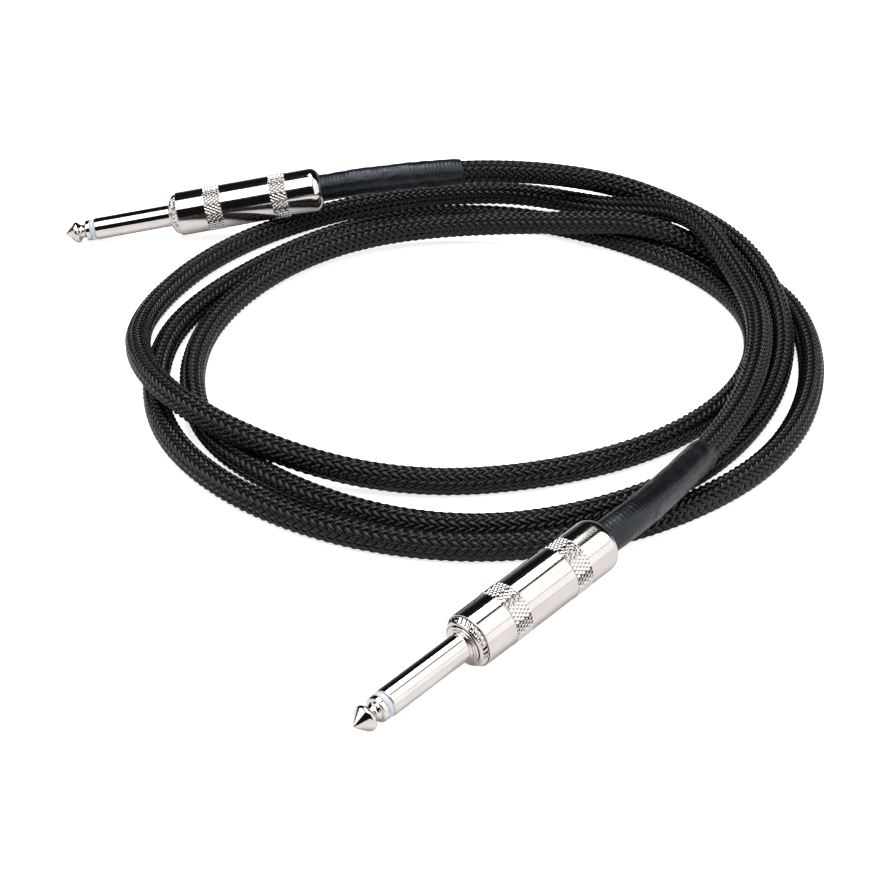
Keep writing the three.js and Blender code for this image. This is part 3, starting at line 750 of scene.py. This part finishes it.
def make_plug(side, pose):
    p = Plug(side, pose)
    # tip: cone, waist, collar
    p.finish("tip_cone", [p.lathe([
        (0.0, 0.0), (0.0, 0.12), (0.16, 0.27, 0.15), (3.02, 2.90, 0.5), (3.42, 3.06, 0.45), (3.95, 2.93, 0.5), (4.75, 2.06, 0.8), (5.45, 1.80, 0.8),
        (6.05, 2.05, 0.5), (6.42, 2.83, 0.3), (6.62, 2.97, 0.2), (7.62, 2.97, 0.14), (7.72, 2.85, 0.1), (7.72, 1.5), (3.9, 1.5), (3.9, 0.0)], 128)],
        NICKEL, "cable", "tip", 50.0)
    p.finish("tip_ring", [p.lathe([
        (7.76, 1.5), (7.76, 2.92, 0.16), (8.0, 3.03, 0.2), (8.9, 3.03, 0.2), (9.06, 2.92, 0.12), (9.06, 1.5)], 96, closed=True)],
        NYLON, "cable", "tip_insulator_ring", 50.0)
    # sleeve: finger, boss and the shank inside the threaded body
    p.finish("sleeve", [p.lathe([
        (9.1, 2.5), (9.1, 3.02, 0.08), (9.28, 3.175, 0.14), (31.5, 3.175, 0.2), (31.62, 3.32, 0.08), (31.75, 3.45, 0.05), (31.75, 3.92, 0.08), (31.98, 4.0, 0.08), (31.98, 4.40, 0.12), (32.2, 4.58, 0.12),
        (33.1, 4.58, 0.15), (33.1, 3.6), (40.3, 3.6), (40.3, 2.5)], 128, closed=True)],
        NICKEL, "cable", "sleeve_barrel", 40.0)
    # threaded body: a domed, serrated collar in front of the handle, then the thread that the handle runs on
    teeth, per = 30, 12
    sides = teeth * per
    a = np.linspace(0, 2 * math.pi, sides, endpoint=False)
    dome = rounded([(32.42, 4.80), (32.42, 5.02, 0.12), (32.62, 5.28, 0.2), (33.05, 5.62, 0.4), (33.55, 5.88, 0.5), (34.02, 5.99, 0.3), (34.02, 5.90)])
    keep = np.linspace(0, 1, 26)
    run = np.concatenate([[0], np.cumsum(np.linalg.norm(np.diff(dome, axis=0), axis=1))])
    run /= run[-1]
    dome = np.stack([np.interp(keep, run, dome[:, 0]), np.interp(keep, run, dome[:, 1])], 1)
    prof = [(33.42, 3.9), (33.42, 4.80), *[tuple(x) for x in dome], (34.30, 5.86), (34.95, 5.86), (34.95, 5.0)]
    rows_s, rows_r, rows_d = [], [], []
    for s, r in prof:
        u = (s - 32.78) / (34.0 - 32.78)
        cut = np.zeros(sides)
        if r > 5.30 and s < 34.03 and u > 0:
            window = min(1.0, u / 0.12) * min(1.0, max(0.0, (1.02 - u) / 0.06))
            wave = (a * teeth / (2 * math.pi) + 0.45 * u) % 1.0
            saw = np.where(wave < 0.62, wave / 0.62, (1.0 - wave) / 0.38)
            cut = window * np.clip(saw * 1.25 - 0.1, 0, 1)
        rows_s.append(s + cut * 0.10)
        rows_r.append(r - cut * 0.24)
        rows_d.append(cut)
    rows_s, rows_r, rows_d = np.array(rows_s), np.array(rows_r), np.array(rows_d)
    # the depth of each serration cut is passed on, so the cuts get painted shade in their base colour
    flange = (rows_s.ravel(), np.tile(a, len(prof)), rows_r.ravel(), grid_faces(len(prof), sides, wrap=True)[:, ::-1], 0.75 * rows_d.ravel() ** 2)
    ts = np.arange(34.95, 40.6 + 1e-6, 0.1)
    ta = np.linspace(0, 2 * math.pi, 72, endpoint=False)
    phase = (ts[:, None] / 0.8 - ta[None, :] / (2 * math.pi)) % 1.0
    tr = 5.0 + 0.22 * (1 - np.abs(phase * 2 - 1))
    ramp = np.clip(np.minimum((ts - 34.95) / 0.5, (40.6 - ts) / 0.4), 0, 1)[:, None]
    tr = 4.98 + (tr - 4.98) * ramp
    ts_all = np.concatenate([ts, [40.6, 34.95]])
    tr_all = np.concatenate([tr, np.full((2, 72), 3.9)])
    thread = (np.repeat(ts_all[:, None], 72, 1).ravel(), np.tile(ta, len(ts_all)), tr_all.ravel(), grid_faces(len(ts_all), 72, wrap=True)[:, ::-1])
    p.finish("threaded_collar", [flange, thread], NICKEL, "cable", "threaded_body", 34.0)
    # handle
    (k0, k1), (k2, k3) = KNURLS
    shell = p.lathe([
        (HANDLE_START + 0.05, 6.06), (HANDLE_START, 6.12, 0.03), (HANDLE_START, 6.26, 0.08), (HANDLE_START + 0.14, HANDLE_R, 0.1),
        (k0 - 0.02, HANDLE_R, 0.05), (k0, KNURL_BASE - 0.01), (k1, KNURL_BASE - 0.01), (k1 + 0.02, HANDLE_R, 0.05),
        (k2 - 0.02, HANDLE_R, 0.05), (k2, KNURL_BASE - 0.01), (k3, KNURL_BASE - 0.01), (k3 + 0.02, HANDLE_R, 0.05),
        *[(HANDLE_END - 2.9 + 3.05 * math.sin(x), HANDLE_R - 3.05 + 3.05 * math.cos(x)) for x in np.radians(np.linspace(0, 66, 10))],
        (HANDLE_END, 4.42, 0.1), (HANDLE_END - 0.25, 4.4), (74.3, 4.4), (74.3, 5.45), (35.3, 5.45), (35.3, 6.02)], 144, closed=True)
    p.finish("handle_shell", [shell, knurl_part(k0 + 0.03, k1 - 0.03), knurl_part(k2 + 0.03, k3 - 0.03)], NICKEL_HANDLE, f"{side}_handle", "handle", 30.0)
    return p


make_plug("rear", REAR)
make_plug("front", FRONT)

# ------------------------------------------------------------------ carried-over inner pieces get their finish
INNER = {
    "centre_rod": TINNED, "rod_insulator_tube": NYLON, "ground_lug": TINNED, "lug_washer": FIBRE, "tip_lug": TINNED,
    "liner_tube": LINER, "tip_solder": SOLDER, "ground_solder": SOLDER, "core_insulation": CORE_WHITE,
    "core_conductor": COPPER, "shield_pigtail": COPPER,
}
for side in ("rear", "front"):
    for name, material in INNER.items():
        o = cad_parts[f"{side}_{name}"]
        if not o.material_slots:
            o.data.materials.append(material)
        for slot in o.material_slots:
            slot.material = material

# ------------------------------------------------------------------ floor and lights
floor_me = bpy.data.meshes.new("floor")
R_FLOOR = 3.5
ring = [(R_FLOOR * math.cos(x), R_FLOOR * math.sin(x), 0.0) for x in np.linspace(0, 2 * math.pi, 96, endpoint=False)]
floor_me.from_pydata(ring, [], [list(range(96))])
floor = add_object("floor", floor_me)
floor.location = (0, 0, FLOOR_Z * MM)
fm = bpy.data.materials.new("floor_white")
fm.use_nodes = True
ft = fm.node_tree
fp = ft.nodes["Principled BSDF"]
fp.inputs["Base Color"].default_value = (0.80, 0.785, 0.775, 1)
fp.inputs["Roughness"].default_value = 0.9
fp.inputs["Specular IOR Level"].default_value = 0.1
fp.inputs["Emission Color"].default_value = (1.0, 1.0, 1.0, 1)
fl = ft.nodes.new("ShaderNodeLightPath")
ft.links.new(mathn(ft, "MULTIPLY", fl.outputs["Is Camera Ray"], 0.80), fp.inputs["Emission Strength"])
floor_me.materials.append(fm)


def panel(name, at, look, size_x, size_y, radiance, roll=0.0, color=(1, 1, 1)):
    """A rectangular lamp at a place, facing a point, of a given brightness in W/m2/sr."""
    d = bpy.data.lights.new(name, "AREA")
    d.shape = "RECTANGLE"
    d.size, d.size_y = size_x, size_y
    d.energy = radiance * math.pi * size_x * size_y
    d.color = color
    o = add_object(name, d)
    o.location = at
    q = (Vector(look) - Vector(at)).to_track_quat("-Z", "Y")
    o.rotation_mode = "QUATERNION"
    o.rotation_quaternion = q @ Matrix.Rotation(roll, 3, "Z").to_quaternion()
    o.visible_camera = False
    return o


H = 1.3


def overhead(name, x, y, size_x, size_y, turn, radiance):
    o = panel(name, (x, y, H), (x, y, 0), size_x, size_y, radiance)
    o.rotation_mode = "XYZ"
    o.rotation_euler = (0, 0, math.radians(turn))
    return o


overhead("top_lamp", -0.14, -0.45, 1.24, 1.42, 0.0, 3.0)
overhead("top_lamp_far", 0.10, 0.45, 0.43, 0.77, 35.6, 8.0)
panel("right_lamp", (1.25, -0.475, 1.60), (0.25, -0.475, 1.60), 2.05, 2.0, 1.5)
panel("right_lamp_low", (1.25, -0.475, 0.285), (0.25, -0.475, 0.285), 2.05, 0.56, 1.35)
panel("left_lamp", (-1.3, -0.43, 0.85), (-0.3, -0.43, 0.85), 1.56, 1.0, 1.6)

world = bpy.data.worlds.new("studio")
bpy.context.scene.world = world
world.use_nodes = True
wt = world.node_tree
wt.nodes.clear()
wo = wt.nodes.new("ShaderNodeOutputWorld")
seen = wt.nodes.new("ShaderNodeBackground")
seen.inputs["Color"].default_value = (1, 1, 1, 1)
seen.inputs["Strength"].default_value = 0.95
dim = wt.nodes.new("ShaderNodeBackground")
co = wt.nodes.new("ShaderNodeTexCoord")
sep = wt.nodes.new("ShaderNodeSeparateXYZ")
wt.links.new(co.outputs["Generated"], sep.inputs[0])
low = remap(wt, sep.outputs[2], 0.02, 0.42, 1.0, 0.0)
far = remap(wt, sep.outputs[1], 0.2, 0.95, 0.0, 1.0)
glow = mathn(wt, "MULTIPLY", mathn(wt, "POWER", low, 1.6), far)
wt.links.new(mathn(wt, "ADD", mathn(wt, "MULTIPLY", glow, 0.30), 0.010), dim.inputs["Strength"])
path = wt.nodes.new("ShaderNodeLightPath")
mix = wt.nodes.new("ShaderNodeMixShader")
wt.links.new(path.outputs["Is Camera Ray"], mix.inputs[0])
wt.links.new(dim.outputs[0], mix.inputs[1])
wt.links.new(seen.outputs[0], mix.inputs[2])
wt.links.new(mix.outputs[0], wo.inputs[0])
bpy.context.scene.view_settings.view_transform = "Standard"
